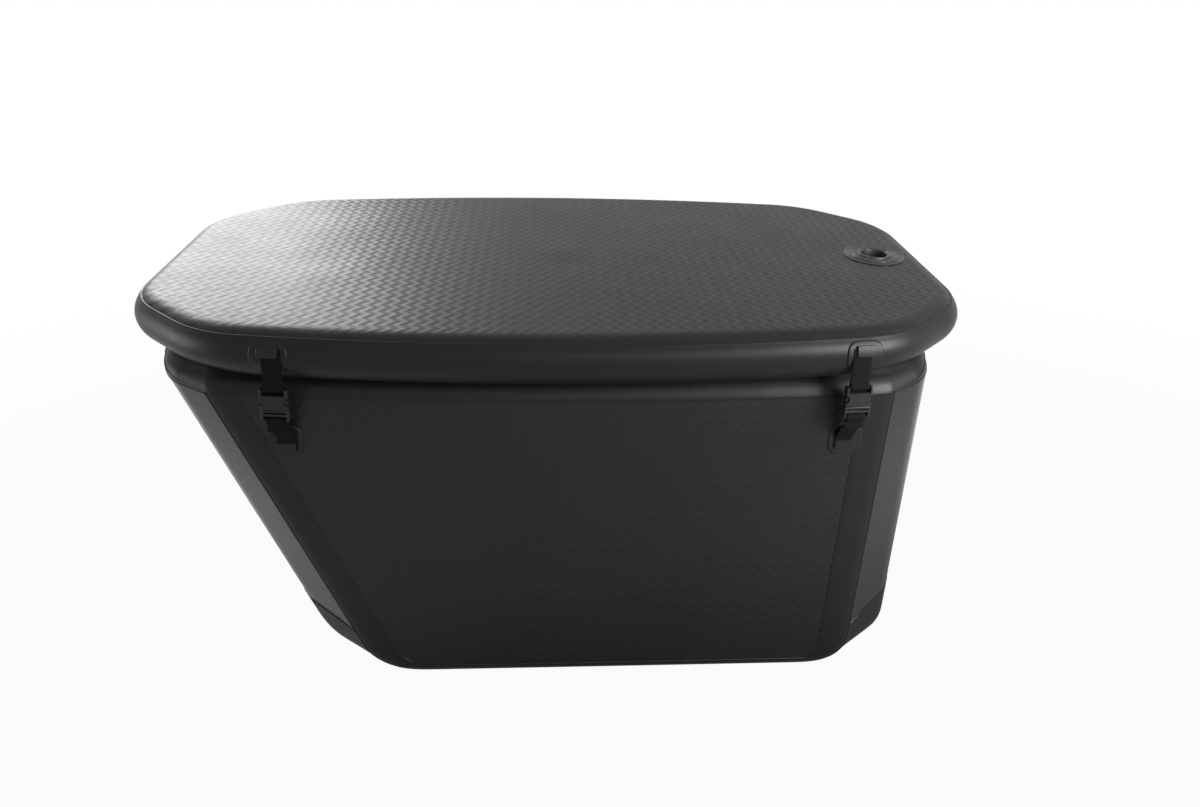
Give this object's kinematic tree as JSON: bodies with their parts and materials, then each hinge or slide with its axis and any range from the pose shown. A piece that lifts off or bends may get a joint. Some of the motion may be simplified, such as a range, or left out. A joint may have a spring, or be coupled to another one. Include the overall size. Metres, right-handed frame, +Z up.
{
  "type": "cold plunge tub",
  "caption": "Inflatable cold plunge tub with a sloped backrest end, bowed sides and cut corners, closed by an overhanging inflated lid that buckled straps hold down.",
  "frame": {"origin": "on the ground, under the middle of the lid", "axes": "+X towards the upright foot end, +Y towards the back, +Z up"},
  "size_m": [1.5, 0.84, 0.7367],
  "materials": {
    "embossed_pvc": "coated panel with a fine chevron emboss, satin",
    "smooth_pvc": "smooth coated band, satin",
    "webbing": "woven, matt",
    "buckle_plastic": "moulded, satin",
    "valve_plastic": "moulded, satin",
    "spring_steel": "drawn wire",
    "gasket_rubber": "matt"
  },
  "bodies": {
    "tub": {"floor_panel": "embossed_pvc", "front_wall": "embossed_pvc", "back_wall": "embossed_pvc", "backrest_wall": "embossed_pvc", "foot_wall": "embossed_pvc", "front_right_corner": "embossed_pvc", "back_right_corner": "embossed_pvc", "back_left_corner": "embossed_pvc", "front_left_corner": "embossed_pvc", "front_right_corner_tape": "smooth_pvc", "back_right_corner_tape": "smooth_pvc", "back_left_corner_tape": "smooth_pvc", "front_left_corner_tape": "smooth_pvc", "rim_band": "smooth_pvc", "base_band": "smooth_pvc", "front_left_wall_patch": "smooth_pvc", "front_right_wall_patch": "smooth_pvc", "back_left_wall_patch": "smooth_pvc", "back_right_wall_patch": "smooth_pvc", "front_left_lower_webbing": "webbing", "front_right_lower_webbing": "webbing", "back_left_lower_webbing": "webbing", "back_right_lower_webbing": "webbing", "front_left_buckle_tongue": "buckle_plastic", "front_right_buckle_tongue": "buckle_plastic", "back_left_buckle_tongue": "buckle_plastic", "back_right_buckle_tongue": "buckle_plastic", "wall_valve_body": "valve_plastic", "drain_flange": "valve_plastic", "drain_nut": "valve_plastic", "wall_valve_spring": "spring_steel"},
    "lid": {"lid_panel": "embossed_pvc", "lid_edge_band": "smooth_pvc", "lid_valve_ring": "smooth_pvc", "lid_valve_body": "valve_plastic", "lid_valve_spring": "spring_steel", "front_left_lid_patch": "smooth_pvc", "front_left_upper_webbing": "webbing", "front_left_buckle_socket": "buckle_plastic", "front_right_lid_patch": "smooth_pvc", "front_right_upper_webbing": "webbing", "front_right_buckle_socket": "buckle_plastic", "back_left_lid_patch": "smooth_pvc", "back_left_upper_webbing": "webbing", "back_left_buckle_socket": "buckle_plastic", "back_right_lid_patch": "smooth_pvc", "back_right_upper_webbing": "webbing", "back_right_buckle_socket": "buckle_plastic"},
    "front_left_prong_left": {"front_left_prong_left": "buckle_plastic"},
    "front_left_prong_right": {"front_left_prong_right": "buckle_plastic"},
    "front_right_prong_left": {"front_right_prong_left": "buckle_plastic"},
    "front_right_prong_right": {"front_right_prong_right": "buckle_plastic"},
    "back_left_prong_left": {"back_left_prong_left": "buckle_plastic"},
    "back_left_prong_right": {"back_left_prong_right": "buckle_plastic"},
    "back_right_prong_left": {"back_right_prong_left": "buckle_plastic"},
    "back_right_prong_right": {"back_right_prong_right": "buckle_plastic"},
    "lid_valve_plunger": {"lid_valve_plunger": "valve_plastic"},
    "wall_valve_plunger": {"wall_valve_plunger": "valve_plastic"},
    "drain_gasket": {"drain_gasket": "gasket_rubber"},
    "drain_cap": {"drain_cap": "valve_plastic"}
  },
  "joints": [
    {"name": "lid_lift", "type": "slide", "parent": "tub", "child": "lid", "axis": [0, 0, 1], "range_m": [0, 0.45]},
    {"name": "front_left_squeeze_left", "type": "slide", "parent": "tub", "child": "front_left_prong_left", "axis": [0.9961, -0.0887, 0], "range_m": [0, 0.003], "stiffness_N_per_m": 800},
    {"name": "front_left_squeeze_right", "type": "slide", "parent": "tub", "child": "front_left_prong_right", "axis": [-0.9961, 0.0887, 0], "range_m": [0, 0.003], "stiffness_N_per_m": 800},
    {"name": "front_right_squeeze_left", "type": "slide", "parent": "tub", "child": "front_right_prong_left", "axis": [0.9954, 0.0956, 0], "range_m": [0, 0.003], "stiffness_N_per_m": 800},
    {"name": "front_right_squeeze_right", "type": "slide", "parent": "tub", "child": "front_right_prong_right", "axis": [-0.9954, -0.0956, 0], "range_m": [0, 0.003], "stiffness_N_per_m": 800},
    {"name": "back_left_squeeze_left", "type": "slide", "parent": "tub", "child": "back_left_prong_left", "axis": [0.9961, 0.0887, 0], "range_m": [0, 0.003], "stiffness_N_per_m": 800},
    {"name": "back_left_squeeze_right", "type": "slide", "parent": "tub", "child": "back_left_prong_right", "axis": [-0.9961, -0.0887, 0], "range_m": [0, 0.003], "stiffness_N_per_m": 800},
    {"name": "back_right_squeeze_left", "type": "slide", "parent": "tub", "child": "back_right_prong_left", "axis": [0.9954, -0.0956, 0], "range_m": [0, 0.003], "stiffness_N_per_m": 800},
    {"name": "back_right_squeeze_right", "type": "slide", "parent": "tub", "child": "back_right_prong_right", "axis": [-0.9954, 0.0956, 0], "range_m": [0, 0.003], "stiffness_N_per_m": 800},
    {"name": "lid_valve_press", "type": "slide", "parent": "lid", "child": "lid_valve_plunger", "axis": [0, 0, 1], "range_m": [-0.005, 0], "stiffness_N_per_m": 600, "springref_m": 0.002, "deforming": ["lid_valve_spring"]},
    {"name": "wall_valve_press", "type": "slide", "parent": "tub", "child": "wall_valve_plunger", "axis": [1, 0, 0], "range_m": [-0.005, 0], "stiffness_N_per_m": 600, "springref_m": 0.002, "deforming": ["wall_valve_spring"]},
    {"name": "drain_cap_travel", "type": "slide", "parent": "tub", "child": "drain_gasket", "axis": [1, 0, 0], "range_m": [0, 0.005]},
    {"name": "drain_cap_turn", "type": "hinge", "parent": "drain_gasket", "child": "drain_cap", "pos_m": [0.7, 0, 0.102], "axis": [1, 0, 0], "range_deg": [0, 450]}
  ],
  "couplings": [
    {"joint": "front_left_squeeze_right", "follows": "front_left_squeeze_left", "ratio": 1},
    {"joint": "front_right_squeeze_right", "follows": "front_right_squeeze_left", "ratio": 1},
    {"joint": "back_left_squeeze_right", "follows": "back_left_squeeze_left", "ratio": 1},
    {"joint": "back_right_squeeze_right", "follows": "back_right_squeeze_left", "ratio": 1},
    {"joint": "drain_cap_travel", "follows": "drain_cap_turn", "m_per_rad": 0.000636}
  ]
}
